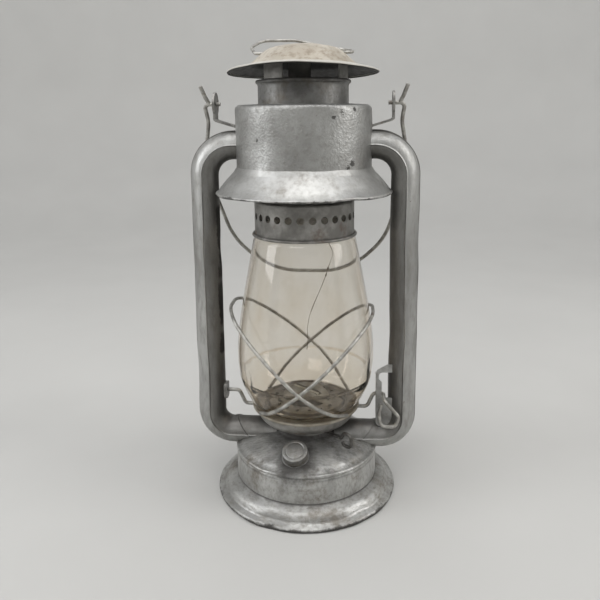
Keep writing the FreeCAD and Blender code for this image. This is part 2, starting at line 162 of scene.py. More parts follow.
def lathe(name, rings, segments=96):
    """Skin of revolution about the Z axis through (radius, height) rings, in millimetres."""
    nothing_selected()
    (r, z), rest = rings[0], rings[1:]
    bpy.ops.mesh.primitive_circle_add(vertices=segments, radius=r * mm, location=(0, 0, z * mm))
    made = bpy.context.object
    made.name = name
    bpy.ops.object.transform_apply(location=True)
    bpy.ops.object.mode_set(mode="EDIT")
    bpy.ops.mesh.select_all(action="SELECT")
    for next_r, next_z in rest:
        bpy.ops.mesh.extrude_edges_move(TRANSFORM_OT_translate={"value": (0, 0, (next_z - z) * mm)})
        if next_r == 0:
            bpy.ops.mesh.merge(type="CENTER")
            break
        grow = next_r / r
        bpy.ops.transform.resize(value=(grow, grow, 1), center_override=(0, 0, next_z * mm))
        r, z = next_r, next_z
    bpy.ops.object.mode_set(mode="OBJECT")
    return made


def finish_with(piece, *modifiers):
    """Adds modifiers, given as (kind, settings), and applies each one."""
    nothing_selected()
    bpy.context.view_layer.objects.active = piece
    piece.select_set(True)
    for kind, settings in modifiers:
        added = piece.modifiers.new(kind, kind)
        for name, value in settings.items():
            setattr(added, name, value)
        bpy.ops.object.modifier_apply(modifier=added.name)
    return piece


def outwards(piece):
    """Merges doubles and turns the faces outwards."""
    nothing_selected()
    bpy.context.view_layer.objects.active = piece
    piece.select_set(True)
    bpy.ops.object.mode_set(mode="EDIT")
    bpy.ops.mesh.select_all(action="SELECT")
    bpy.ops.mesh.remove_doubles(threshold=0.00001)
    bpy.ops.mesh.normals_make_consistent(inside=False)
    bpy.ops.object.mode_set(mode="OBJECT")
    return piece


def smooth(piece, angle=40):
    nothing_selected()
    bpy.context.view_layer.objects.active = piece
    piece.select_set(True)
    bpy.ops.object.shade_smooth_by_angle(angle=math.radians(angle))
    return piece


def dress(piece, material, body=None, stands_for=()):
    """Gives a piece its material, and a new piece its body, and hides the CAD nodes it stands for."""
    piece.data.materials.clear()
    piece.data.materials.append(material)
    if body:
        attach(piece, body)
        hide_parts(*stands_for)
    return piece


sweep = lathe("floor", [(20, 0), (900, 0), (1250, 20), (1520, 150), (1650, 420), (1700, 900),
                        (1700, 2300)], 64)
bpy.ops.object.mode_set(mode="EDIT")
bpy.ops.mesh.select_all(action="DESELECT")
bpy.ops.object.mode_set(mode="OBJECT")
for edge in sweep.data.edges:
    edge.select = all(sweep.data.vertices[v].co.xy.length < 0.03 for v in edge.vertices)
bpy.ops.object.mode_set(mode="EDIT")
bpy.ops.mesh.select_mode(type="EDGE")
bpy.ops.mesh.edge_face_add()
bpy.ops.object.mode_set(mode="OBJECT")
outwards(sweep)
smooth(sweep, 60)
paper = Paint("pale_paper", Roughness=0.75)
paper_grain = paper.noise(9, 4)
paper_colour = paper.mix(paper_grain, (0.485, 0.481, 0.465, 1), (0.53, 0.526, 0.508, 1))
dress(sweep, paper.feed(Base_Color=paper_colour))

world = bpy.data.worlds.new("room")
scene.world = world
world.use_nodes = True
world.node_tree.nodes["Background"].inputs["Color"].default_value = (0.93, 0.95, 1.0, 1)
world.node_tree.nodes["Background"].inputs["Strength"].default_value = 0.62


def softbox(name, at, aim, width, height, power, colour=(1, 1, 1)):
    lamp = bpy.data.lights.new(name, "AREA")
    lamp.shape = "RECTANGLE"
    lamp.size = width
    lamp.size_y = height
    lamp.energy = power
    lamp.color = colour
    holder = bpy.data.objects.new(name, lamp)
    scene.collection.objects.link(holder)
    holder.location = at
    holder.rotation_euler = (Vector(aim) - Vector(at)).to_track_quat("-Z", "Y").to_euler()
    return holder


softbox("top_light", (0.0, -0.25, 1.45), (0, 0, 0.1), 1.1, 0.9, 8.5, (1, 0.99, 0.97))
softbox("left_light", (-1.05, -0.35, 0.75), (0, 0, 0.2), 0.5, 1.1, 6.0, (0.97, 0.98, 1))
softbox("right_light", (1.05, -0.2, 0.8), (0, 0, 0.2), 0.5, 1.1, 6.0, (1, 0.99, 0.98))
softbox("back_light", (0.0, 0.55, 1.5), (0, 1.6, 0.7), 1.2, 0.5, 5.0)
softbox("front_light", (-0.35, -1.15, 1.0), (0, 0, 0.12), 0.7, 0.5, 3.0)

camera = bpy.data.objects.new("camera", bpy.data.cameras.new("camera"))
scene.collection.objects.link(camera)
scene.camera = camera
look_turn = math.radians(4.5)
look_down = math.radians(10.0)
look_roll = math.radians(0.5)
eye_back = 0.480
camera.location = (eye_back * math.sin(look_turn), -eye_back * math.cos(look_turn), 0.2968)
camera.rotation_euler = (math.pi / 2 - look_down, look_roll, look_turn)
camera.data.sensor_width = 36
camera.data.lens = 37.7
camera.data.shift_y = -0.120
camera.data.shift_x = -0.006
camera.data.clip_start = 0.01
scene.view_settings.view_transform = "Standard"


# The base skirt: a spun tinplate foot that flares from the fount to a rolled rim. Silver paint,
# browned by weather, with chips and rust at the rolled edge.
def soften(points, radii):
    """(radius, height) points of an outline whose inner corners are rounded."""
    made = [points[0]]
    for before, here, ahead, radius in zip(points, points[1:], points[2:], radii):
        corner = Vector(here)
        back = (Vector(before) - corner).normalized()
        on = (Vector(ahead) - corner).normalized()
        if radius == 0:
            made.append(here)
            continue
        cut = radius / math.tan(back.angle(on) / 2)
        first, last = corner + back * cut, corner + on * cut
        steps = max(3, round(math.degrees(math.pi - back.angle(on)) / 9))
        for step in range(steps + 1):
            t = step / steps
            made.append(tuple(first * (1 - t) ** 2 + corner * 2 * t * (1 - t) + last * t ** 2))
    return made + [points[-1]]


def roll(centre_r, centre_z, radius, start, end):
    """Points round a rolled edge, from one angle to another, in degrees from straight out."""
    steps = max(4, round(abs(end - start) / 24))
    turns = [math.radians(start + (end - start) * k / steps) for k in range(steps + 1)]
    return [(centre_r + radius * math.cos(t), centre_z + radius * math.sin(t)) for t in turns]


def reach(node):
    """Outer radius, foot and top of a CAD node, in millimetres."""
    low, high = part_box(node)
    return high.x / mm, low.z / mm, high.z / mm


def uneven(size, depth, axis="NORMAL"):
    """Modifier settings for hand-worn waviness: the size of the waves and their depth, in mm."""
    clouds = bpy.data.textures.new("waves", "CLOUDS")
    clouds.noise_scale = size * mm
    clouds.noise_depth = 1
    return ("DISPLACE", {"texture": clouds, "texture_coords": "LOCAL", "strength": depth * mm,
                         "mid_level": 0.5, "direction": axis})


def dent(piece, at, size, move):
    """Pushes a round patch of the surface, all in millimetres."""
    centre, push = Vector(at) * mm, Vector(move) * mm
    for vertex in piece.data.vertices:
        near = 1 - min(1, (vertex.co - centre).length / (size * mm))
        vertex.co += push * (near * near * (3 - 2 * near))
    return piece


def silver_paint(name, tone=0.5, brown=0.35, dark_marks_and_shade=None, peel=0.35, streaks=(1, 1, 1), grain=0.35,
                 stain_from=0.54, shade=None):
    """Old aluminium paint on tin: mottled, browned in patches, rusted through in specks.

    tone is its brightness; brown, peel and grain are how strong the stains, the orange peel and the
    scuffs are; the black mask function gives wear, rust and smoke, and also painted shade in creases and
    under parts, and shade gives painted shade and dark seams, which are painted dark grey.
    scuffs are; soot and shade are functions that give a mask of black and of grime.
    """
    paint = Paint(name)
    broad = paint.noise(26, 4, 0.55, streaks)
    fine = paint.noise(240, 5, 0.6, streaks)
    dull = (tone * 0.72, tone * 0.715, tone * 0.69, 1)
    bright = (tone * 1.14, tone * 1.14, tone * 1.11, 1)
    scuffed = (tone * 0.5, tone * 0.48, tone * 0.43, 1)
    colour = paint.mix(paint.ramp(broad, 0.32, 0.68), dull, bright)
    colour = paint.mix(paint.ramp(fine, 0.40, 0.72) * grain, colour, scuffed)
    stain = paint.ramp(paint.noise(44, 7, 0.72), stain_from, stain_from + 0.24) * brown
    colour = paint.mix(stain, colour, (0.150, 0.122, 0.088, 1))
    worn = paint.ramp(paint.noise(190, 7, 0.64), 0.685, 0.715)
    colour = paint.mix(worn * 0.85, colour, (0.085, 0.05, 0.032, 1))
    wear_and_shade = worn
    # Painted shade: the shade mask paints dark grey where the surface should fall into shade, and along
    # seams.
    if shade is not None:
        colour = paint.mix(shade(paint), colour, (0.10, 0.094, 0.085, 1))
    # Black marks: wear, rust and smoke, and also painted shade in creases and under parts.
    if dark_marks_and_shade is not None:
        black = dark_marks_and_shade(paint)
        colour = paint.mix(black, colour, (0.030, 0.027, 0.024, 1))
        wear_and_shade = paint.larger(worn, black)
    orange_peel = paint.bump(paint.noise(620, 2), peel, 0.0005)
    normal = paint.bump(paint.noise(170, 4), 0.25, 0.0005, orange_peel)
    return paint.feed(Base_Color=colour, Metallic=0.82 - wear_and_shade * 0.72, Normal=normal,
                      Roughness=0.40 + stain * 0.22 + wear_and_shade * 0.35 + paint.ramp(fine, 0.3, 0.7) * 0.10)


tin_wall = ("SOLIDIFY", {"thickness": 0.8 * mm, "offset": -1})
rim_r, rim_foot_z, wall_foot_z = reach("base_skirt")
fount_r = reach("fount_wall")[0] - 0.4
rim_roll_r = 1.7
skirt_skin = roll(rim_r - rim_roll_r, rim_foot_z + rim_roll_r, rim_roll_r, -200, 75)
skirt_skin += soften([(rim_r - 2.1, 3.4), (rim_r - 4.6, 4.6), (rim_r - 5.4, 5.6), (fount_r + 8.0, 9.6),
                      (fount_r, wall_foot_z - 1.6), (fount_r, wall_foot_z)], [1, 1, 9, 1.8])[1:]
skirt = lathe("skirt", skirt_skin, 160)
finish_with(outwards(skirt), uneven(26, 0.9))
dent(skirt, (-20, -66, 6), 14, (0.6, 1.2, -0.5))
dent(skirt, (44, -50, 6), 12, (-0.7, 1.0, 0.3))
smooth(finish_with(skirt, tin_wall), 50)


def skirt_wear_and_shade(paint):
    """Bare rusted metal along the rolled rim, and painted shade in the crease under the wall."""
    ragged = paint.noise(95, 6, 0.7)
    rim_wear = paint.ramp(paint.z + ragged * -0.009, -0.0015, -0.0032)
    # Painted shade: the crease where the skirt meets the fount wall is painted dark.
    crease = paint.ramp(paint.z + ragged * 0.003, 0.0125, 0.0150)
    return paint.larger(rim_wear * 0.9, crease * 0.7)


dress(skirt, silver_paint("skirt_paint", 0.44, 0.6, skirt_wear_and_shade, 0.35, (1, 1, 3), 0.6, 0.47), "frame",
      ["base_skirt"])


# The fount: a drawn cup with a rolled seam round its shoulder and a domed top that rises to the
# burner's neck. The top was brushed when it was cleaned and is streaked.
shoulder_r, wall_z, seam_top_z = reach("fount_wall")
dome_foot_z, neck_top_z = reach("fount_top")[1:]
neck_r = 23.0
dome_z = neck_top_z - 3
fount_skin = [(fount_r, wall_z), (fount_r, seam_top_z - 3.4)]
fount_skin += roll(shoulder_r - 1.3, seam_top_z - 1.3, 1.5, -70, 80)
fount_skin += soften([(fount_r - 1.5, seam_top_z + 0.2), (fount_r - 5, dome_foot_z + 3.8),
                      (neck_r + 14, dome_z - 1.8), (neck_r, dome_z), (neck_r, neck_top_z)], [8, 24, 2])
fount = outwards(lathe("fount", fount_skin, 160))
finish_with(fount, uneven(30, 0.7))
dent(fount, (-30, -44, 40), 13, (0, 0.2, -0.8))
dent(fount, (26, -50, 24), 14, (0, 1.0, 0))
smooth(finish_with(fount, tin_wall), 50)


def fount_streaks_and_shade(paint):
    """Painted shade round the neck under the burner and painted shadow round the foot of the filler cap, a
    dark band along the seam, and oil and dust baked into dark streaks down the top.
    """
    ragged = paint.noise(60, 6, 0.65)
    level = paint.node("ShaderNodeMapping", inputs={"Vector": paint.place, "Scale": (1, 1, 0)})
    from_axis = paint.node("ShaderNodeVectorMath", {"operation": "LENGTH"}, {0: level}, 1)
    # Painted shade: the dome is painted dark round the neck, where the burner and its plate shade it.
    neck = paint.ramp(from_axis + ragged * 0.022, 0.0440, 0.0330)
    seam = paint.ramp(paint.z + ragged * 0.004, 0.0350, 0.0335) * paint.ramp(paint.z, 0.030, 0.0335)
    drips_and_shadow = paint.ramp(paint.noise(38, 6, 0.68, (1, 1, 0.35)), 0.50, 0.68)
    drips_and_shadow = drips_and_shadow * paint.ramp(paint.z, 0.034, 0.039)
    # Painted shadow round the foot of the filler cap, merged into the streak mask.
    filler_shadow = paint.ramp(paint.away(-4, -45, 44) + ragged * 0.030, 0.040, 0.024)
    drips_and_shadow = paint.larger(drips_and_shadow, filler_shadow * 1.25)
    dark = paint.larger(neck * 0.85, seam * 0.7)
    return paint.larger(dark, drips_and_shadow * 0.72)


dress(fount, silver_paint("fount_paint", 0.46, 0.8, fount_streaks_and_shade, 0.3, (1, 3.2, 1), 0.6, 0.50), "frame",
      ["fount_wall", "fount_top"])


# The air tubes: each is two pressed halves of tinplate seamed at their edges, so a crease runs down
# its front and back. They bend out of the air chamber, hang straight, and turn in over the fount.
tube_w, tube_d, top_bend, low_bend = 22.0, 24.0, 23.0, 18.0
tube_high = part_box("side_tube_right")[1]
tube_x = tube_high.x / mm - tube_w / 2
top_run_z = tube_high.z / mm - tube_w / 2
low_run_z = 43.5
joint_x = 48.0
tube_start_x = reach("air_chamber")[0] - 3.5


def sweep_run(*moves):
    for move in moves:
        bpy.ops.mesh.extrude_region_move(TRANSFORM_OT_translate={"value": [m * mm for m in move]})


def air_tube(name, side):
    """A creased oval tube; side is 1 for the right one and -1 for the left."""
    pinch, straight_steps, seam_swell, seam_slant = 1.2, 40, 1.05, 0.9
    nothing_selected()
    bpy.ops.mesh.primitive_circle_add(vertices=56, radius=1)
    made = bpy.context.object
    made.name = name
    for vertex in made.data.vertices:
        turn = math.atan2(vertex.co.y, vertex.co.x)
        ahead, across = math.cos(turn), math.sin(turn)
        crease = 1.06 if abs(ahead) > 0.999 else 1
        seam = 0.955 if across > 0.999 else 1
        front = -math.copysign(abs(ahead) ** pinch, ahead) * tube_d / 2 * crease
        rise = math.copysign(abs(across) ** pinch, across) * tube_w / 2 * seam
        vertex.co = Vector((tube_start_x, front, top_run_z + rise)) * mm
    bpy.ops.object.mode_set(mode="EDIT")
    bpy.ops.mesh.select_all(action="SELECT")
    sweep_run((tube_x - top_bend - tube_start_x, 0, 0))
    bpy.ops.mesh.spin(steps=18, angle=-math.pi / 2, axis=(0, 1, 0),
                      center=((tube_x - top_bend) * mm, 0, (top_run_z - top_bend) * mm))
    drop = (top_run_z - top_bend - low_run_z - low_bend) / straight_steps
    sweep_run(*[(0, 0, -drop)] * straight_steps)
    bpy.ops.mesh.spin(steps=16, angle=-math.pi / 2, axis=(0, 1, 0),
                      center=((tube_x - low_bend) * mm, 0, (low_run_z + low_bend) * mm))
    seam_steps = [(-0.2, 0, 0), (-1.6, 0, 0), (-0.2, 0, 0)]
    sweep_run((joint_x - tube_x + low_bend, 0, 0), *seam_steps, (neck_r + 2 - joint_x, 0, 0))
    bpy.ops.object.mode_set(mode="OBJECT")
    for vertex in made.data.vertices:
        x, above = vertex.co.x / mm, vertex.co.z - low_run_z * mm
        if above > tube_w * mm:
            continue
        if abs(x - joint_x + 1) < 0.9:
            vertex.co.y *= seam_swell
            vertex.co.z = low_run_z * mm + above * seam_swell
        if neck_r + 1 < x < joint_x + 0.5:
            vertex.co.x += (vertex.co.z - low_run_z * mm) * seam_slant
    if side < 0:
        for vertex in made.data.vertices:
            vertex.co.x = -vertex.co.x
    return outwards(made)


def mark_across(tube):
    """Notes on each point how far outside the tube's centre line it is, in metres."""
    note = tube.data.attributes.new("across", "FLOAT", "POINT")
    for vertex, mark in zip(tube.data.vertices, note.data):
        x, z = abs(vertex.co.x) / mm, vertex.co.z / mm
        if z > top_run_z - top_bend:
            bend = Vector((max(0, x - tube_x + top_bend), z - top_run_z + top_bend))
            away = bend.length - top_bend
        elif z > low_run_z + low_bend:
            away = x - tube_x
        else:
            bend = Vector((max(0, x - tube_x + low_bend), low_run_z + low_bend - z))
            away = bend.length - low_bend
        mark.value = away * mm


def tube_shade(paint):
    """Painted shade on the inner half of a tube, the side turned from the light, sharp at the crease, and a
    dark line along the outer seam.
    """
    across = paint.node("ShaderNodeAttribute", {"attribute_name": "across"}, output=2)
    # Painted shade: darker from the crease out to the inner edge.
    inner = paint.ramp(across, 0.0004, -0.0006) * paint.ramp(across, -0.0115, -0.0040, 0.86, 0.58)
    seam = paint.ramp(across + paint.noise(120, 3) * 0.0008, 0.0101, 0.0107)
    return paint.larger(inner, seam * 0.85)


def bare_edge(low, high, share):
    """Mask of black streaks down a tube's inner edge, between two heights in millimetres."""
    def mask(paint):
        across = paint.node("ShaderNodeAttribute", {"attribute_name": "across"}, output=2)
        ragged = paint.noise(130, 6, 0.7, (1, 1, 0.4))
        patch = paint.ramp(paint.noise(16, 3, 0.6, (0.2, 0.2, 1)), 1 - share, 1.05 - share)
        foot = paint.ramp(paint.z, low * mm, (low + 4) * mm)
        head = paint.ramp(paint.z, high * mm, (high - 4) * mm)
        edge = paint.ramp(across + (ragged - 0.5) * 0.006, -0.0088, -0.0096)
        return edge * patch * foot * head * 0.95
    return mask


tube_right = air_tube("air_tube_right", 1)
dent(tube_right, (tube_x - 8, -9, 128), 26, (1.2, 0.9, 0))
dent(tube_right, (tube_x + 5, -9, 205), 30, (-0.6, 1.0, 0))
tube_left = air_tube("air_tube_left", -1)
dent(tube_left, (-tube_x + 9, -8, 196), 20, (-1.6, 1.5, 0))
dent(tube_left, (-tube_x - 3, -9, 92), 30, (0.5, 0.9, 0))
for tube, side, streaks in ((tube_right, "right", bare_edge(100, 222, 0.44)),
                            (tube_left, "left", bare_edge(90, 232, 0.56))):
    finish_with(tube, uneven(34, 0.7))
    mark_across(tube)
    smooth(tube, 24)
    tube_paint = silver_paint(side + "_tube_paint", 0.42, 0.4, streaks, 0.3, (1, 1, 0.3), 0.5, 0.54,
                              tube_shade)
    dress(tube, tube_paint, "frame", ["side_tube_" + side, "duct_" + side])


# The air chamber and the bell under it: spun tinplate that takes the tubes in at its sides. The paint
# has dried to an orange peel, and heat has browned it.
chamber_r, chamber_foot_z, chamber_top_z = reach("air_chamber")
flue_bead_r = 1.5
flue_r = reach("flue")[0] - flue_bead_r
wall_rings = [(chamber_r, chamber_foot_z + 6 * step) for step in range(7)]
chamber_skin = wall_rings + soften([(chamber_r, chamber_foot_z), (chamber_r, chamber_top_z),
                                    (flue_r + 0.6, chamber_top_z)], [4.5])[1:]
chamber = outwards(lathe("air_chamber_shell", chamber_skin, 144))
finish_with(chamber, uneven(30, 1.0))
dent(chamber, (14, -49, 296), 16, (-0.3, 1.0, 0))
dent(chamber, (-30, -42, 276), 18, (0.4, 0.9, 0))
smooth(finish_with(chamber, tin_wall), 50)


def worn_patches(*places):
    """Mask of bare black patches round places given as (x, y, z, size) in millimetres."""
    def mask(paint):
        ragged = paint.noise(260, 6, 0.7)
        total = None
        for x, y, z, size in places:
            away = paint.away(x, y, z) + (ragged - 0.5) * 0.010
            spot = paint.ramp(away, size * mm, size * 0.6 * mm)
            total = spot if total is None else paint.larger(total, spot)
        return total * 0.85
    return mask


chamber_spots = worn_patches((37, -35.5, 264, 2.6), (34, -38.5, 261, 1.8), (24, -45.5, 297, 1.5),
                             (30, -41.5, 300, 1.6), (38, -34.5, 302, 1.2), (-30, -41.7, 281, 0.9))
dress(chamber, silver_paint("chamber_paint", 0.40, 0.35, chamber_spots, 0.7, (1, 1, 1), 0.4), "frame",
      ["air_chamber"])

bell_r, bell_foot_z, bell_top_z = reach("bell")
bell_roll_r = 1.2
bell_skin = roll(bell_r - bell_roll_r, bell_foot_z + bell_roll_r, bell_roll_r, -190, 60)
waist_r, bell_neck_r = 60.3, 53.8
bell_skin += soften([(bell_r - 1.6, bell_foot_z + 2.5), (waist_r, bell_foot_z + 9.4),
                     (bell_neck_r, bell_top_z - 3.6), (chamber_r - 0.1, bell_top_z + 0.4)], [22, 8])
bell = outwards(lathe("bell_skirt", bell_skin, 144))
finish_with(bell, uneven(28, 1.0))
dent(bell, (34, -54, 244), 18, (-0.4, 0.8, 0.9))
smooth(finish_with(bell, tin_wall), 50)


def bell_dirt(paint):
    """Brown worn spots along the bell's roll."""
    ragged_z = paint.z + paint.noise(85, 6, 0.7) * -0.010
    return paint.ramp(ragged_z, (bell_foot_z - 3.6) * mm, (bell_foot_z - 4.8) * mm) * 0.8


dress(bell, silver_paint("bell_paint", 0.48, 0.5, bell_dirt, 0.3, (1, 1, 1), 0.35, 0.52), "frame", ["bell"])


# The hood: a shallow spun cap on three straps over the flue, with a thin wired edge that has been
# knocked wavy. Heat has burnt its paint to tan. Its underside is painted black by the way its faces
# turn, both for its sooty underside and as painted shade under the hood.
hood_r, hood_foot_z, hood_top_z = reach("hood")
hood_roll_r = 0.9
crown_r = hood_r - 16.5
hood_skin = roll(hood_r - hood_roll_r, hood_foot_z + hood_roll_r, hood_roll_r, -200, 70)
hood_skin += soften([(hood_r - 1.0, hood_foot_z + 1.9), (crown_r, hood_foot_z + 5.0),
                     (crown_r - 13, hood_top_z - 3.6), (crown_r - 31, hood_top_z), (0, hood_top_z)],
                    [6, 18, 40])
hood_skin = [p for p in hood_skin if p[0] > 1.5] + [(0, hood_top_z)]
hood = outwards(lathe("hood_cap", hood_skin, 144))
for vertex in hood.data.vertices:
    out = vertex.co.xy.length / (hood_r * mm)
    turn = math.atan2(vertex.co.y, vertex.co.x)
    tilt = -3.2 * math.sin(turn) - 1.6
    ripple = 0.5 * math.sin(3 * turn + 0.6) - 0.9 * math.cos(2 * turn)
    vertex.co.z += (tilt + ripple) * mm * max(0, out - 0.45) ** 2 * 2.4
finish_with(hood, uneven(24, 0.9, "Z"))
smooth(finish_with(hood, tin_wall), 55)
heat = Paint("heated_paint")
heat_broad = heat.noise(24, 5, 0.6)
heat_fine = heat.noise(210, 6, 0.65)
tan = heat.mix(heat.ramp(heat_broad, 0.35, 0.66), (0.37, 0.33, 0.27, 1), (0.55, 0.51, 0.44, 1))
tan = heat.mix(heat.ramp(heat_fine, 0.45, 0.72) * 0.65, tan, (0.215, 0.170, 0.125, 1))
tan = heat.mix(heat.ramp(heat.noise(70, 6, 0.7), 0.58, 0.70) * 0.7, tan, (0.30, 0.29, 0.27, 1))
rim_grey = heat.ramp(heat.z + heat_fine * 0.002, (hood_foot_z + 6.6) * mm, (hood_foot_z + 4.2) * mm)
tan = heat.mix(rim_grey * 0.85, tan, (0.56, 0.55, 0.51, 1))
# Painted shade and soot: faces turned downward are painted near-black and made less metallic.
facing = heat.node("ShaderNodeNewGeometry", output=1)
down = heat.ramp(heat.node("ShaderNodeSeparateXYZ", inputs={0: facing}, output=2), -0.1, -0.5)
tan = heat.mix(down, tan, (0.018, 0.016, 0.014, 1))
foot_marks = worn_patches((-25.5, 0, 344, 3.4), (25.5, 0, 344, 3.4))(heat)
tan = heat.mix(foot_marks, tan, (0.04, 0.03, 0.022, 1))
heat_rough = 0.50 + heat.ramp(heat_fine, 0.3, 0.7) * 0.2
heat.feed(Base_Color=tan, Metallic=0.30 - down * 0.25, Roughness=heat_rough,
          Normal=heat.bump(heat_fine, 0.35, 0.0005))
dress(hood, heat.material, "crown", ["hood"])


# The flue: a rolled tin pipe with a beaded mouth that rises out of the air chamber to the hood,
# silvered and smoked brown round its mouth.
flue_top_z = reach("flue")[2] + 2.6
flue_foot_z = reach("flue")[1]
flue_skin = [(flue_r, flue_foot_z), (flue_r, chamber_top_z + 1), (flue_r, flue_top_z - 6),
             (flue_r, flue_top_z - 4.5), (flue_r + 0.2, flue_top_z - 3.4)]
flue_skin += roll(flue_r + 0.1, flue_top_z - flue_bead_r, flue_bead_r, -70, 130)
flue = outwards(lathe("flue_pipe", flue_skin, 128))
finish_with(flue, uneven(22, 0.6))
smooth(finish_with(flue, tin_wall), 50)


def flue_smoke(paint):
    """Soot that has come down from the mouth, heaviest at the front."""
    ragged = paint.noise(70, 5, 0.65)
    front = paint.ramp(paint.away(-2, -34, flue_top_z - 3) + ragged * 0.016, 0.024, 0.010)
    mouth = paint.ramp(paint.z + ragged * 0.006, (flue_top_z - 0.5) * mm, (flue_top_z + 2.5) * mm)
    return paint.larger(front * 0.62, mouth * 0.7)


dress(flue, silver_paint("flue_paint", 0.25, 0.6, flue_smoke, 0.4, (1, 1, 1), 0.5, 0.47), "crown",
      ["flue"])


# The globe: blown glass, a little uneven, gone amber with smoke toward its foot, with one old crack
# down its front.
globe_low, globe_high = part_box("globe")
glass_t = 1.3
belly_r, belly_z = globe_high.x / mm, 115.0
seat_r, mouth_r = 33.6, 36.4
glass_foot_z, glass_top_z = globe_low.z / mm, globe_high.z / mm
glass_skin = soften([(seat_r, glass_foot_z + 0.1), (seat_r + 10.4, glass_foot_z + 5.2),
                     (51.8, belly_z - 24), (belly_r + 1.4, belly_z - 1), (50.4, belly_z + 34),
                     (mouth_r + 3.2, glass_top_z - 9.5), (mouth_r, glass_top_z - 6.3),
                     (mouth_r, glass_top_z)], [14, 35, 120, 200, 6, 3])
globe = outwards(lathe("glass_globe", glass_skin, 128))
finish_with(globe, uneven(40, 0.5), ("SOLIDIFY", {"thickness": glass_t * mm, "offset": -1}))
smooth(globe, 60)
glass = Paint("amber_glass", Roughness=0.05, IOR=1.38, Transmission_Weight=1.0, Specular_IOR_Level=0.25)
edge = glass.node("ShaderNodeLayerWeight", inputs={"Blend": 0.30}, output=1)
smoke = glass.noise(34, 5, 0.6)
low_smoke = glass.ramp(glass.z + smoke * 0.03, 0.118, 0.088)
clear = glass.mix(low_smoke, (0.962, 0.94, 0.90, 1), (0.90, 0.835, 0.74, 1))
clouding = glass.ramp(glass.noise(55, 6, 0.65, (1, 1, 0.45)), 0.42, 0.72)
clear = glass.mix(clouding * 0.6, clear, (0.88, 0.82, 0.73, 1))
specks = glass.ramp(glass.noise(330, 5, 0.7), 0.66, 0.72)
clear = glass.mix(specks * 0.6, clear, (0.42, 0.30, 0.19, 1))
glass.feed(Base_Color=glass.mix(glass.ramp(edge, 0.35, 0.95), clear, (0.52, 0.37, 0.21, 1)),
           Normal=glass.bump(glass.noise(28, 2), 0.12, 0.002))
dress(globe, glass.material, "globe_carrier", ["globe"])


# The crack in the globe: a fine line that runs down the front from under the collar, stained dark
# where smoke has got into it, and branches low down.
def glass_radius(height):
    """Outer radius of the glass at a height, both in millimetres."""
    for (r0, z0), (r1, z1) in zip(glass_skin, glass_skin[1:]):
        if z0 <= height <= z1:
            return r0 + (r1 - r0) * (height - z0) / (z1 - z0)
    return glass_skin[-1][0]


def crack_line(name, places, width):
    """Hairline on the glass through (degrees from the front, height) places."""
    line = bpy.data.curves.new(name, "CURVE")
    line.dimensions = "3D"
    line.bevel_depth = width / 2 * mm
    line.bevel_resolution = 1
    run = line.splines.new("POLY")
    run.points.add(len(places) - 1)
    for point, (turn, height) in zip(run.points, places):
        away = glass_radius(height) - 0.25
        side = math.radians(turn)
        point.co = (away * math.sin(side) * mm, -away * math.cos(side) * mm, height * mm, 1)
        point.radius = 0.6 + 0.4 * math.sin(height)
    made = bpy.data.objects.new(name, line)
    scene.collection.objects.link(made)
    nothing_selected()
    bpy.context.view_layer.objects.active = made
    made.select_set(True)
    bpy.ops.object.convert(target="MESH")
    return bpy.context.object


crack_stain = Paint("crack_stain", Roughness=0.6)
crack_stain.feed(Base_Color=crack_stain.mix(crack_stain.ramp(crack_stain.noise(160, 3), 0.4, 0.6),
                                            (0.10, 0.075, 0.05, 1), (0.30, 0.26, 0.21, 1)))
for name, places, width in (
        ("crack_main", [(32, 208), (33, 204), (35, 200), (31, 194), (27, 189)], 0.75),
        ("crack_blot", [(28, 190), (26, 187), (24.5, 184)], 1.5),
        ("crack_tail", [(25, 185), (21, 179), (17, 173), (12, 165), (8, 157), (6, 148), (6.5, 140),
                        (5.5, 133)], 0.55)):
    dress(crack_line(name, places, width), crack_stain.material, "globe_carrier", [])


# The filler cap: a stamped screw cap with a milled edge and a raised ring on its top, on the fount's
# front. Its paint has gone from the edge.
cap_low, cap_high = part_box("filler_cap")
cap_r = (cap_high.x - cap_low.x) / 2 / mm
cap_deep, cap_lean, cap_turn = 6.3, math.radians(26), math.radians(-7)
cap_axis = Vector((math.sin(cap_lean) * math.sin(cap_turn), -math.sin(cap_lean) * math.cos(cap_turn),
                   math.cos(cap_lean)))
cap_middle = (cap_low + cap_high) / 2
cap_skin = [(cap_r - 0.9, 0), (cap_r, 0)]
cap_skin += soften([(cap_r, 0.4), (cap_r, cap_deep - 0.2), (cap_r - 2.2, cap_deep - 0.1)], [1.1])
cap_skin += soften([(cap_r - 2.2, cap_deep - 0.1), (cap_r - 2.8, cap_deep - 0.6),
                    (cap_r - 3.6, cap_deep - 0.3), (0, cap_deep + 0.2)], [0.4, 0.5])[1:]
cap = lathe("filler_cap_shell", cap_skin, 144)
for vertex in cap.data.vertices:
    turn = math.degrees(math.atan2(vertex.co.y, vertex.co.x)) % 360
    if round(turn / 2.5) % 3 == 0 and 0.0009 < vertex.co.z < (cap_deep - 1.2) * mm:
        vertex.co.x *= 0.962
        vertex.co.y *= 0.962
outwards(cap)
cap.data.transform(cap_axis.to_track_quat("Z", "Y").to_matrix().to_4x4())
cap.data.transform(Matrix.Translation(cap_middle - cap_axis * cap_deep / 2 * mm))
smooth(finish_with(cap, ("SOLIDIFY", {"thickness": 0.7 * mm, "offset": -1})), 35)
cap_paint = silver_paint("cap_paint", 0.34, 0.9, None, 0.3, (1, 1, 1), 0.6, 0.40)
dress(cap, cap_paint, "filler_cap", ["filler_cap"])


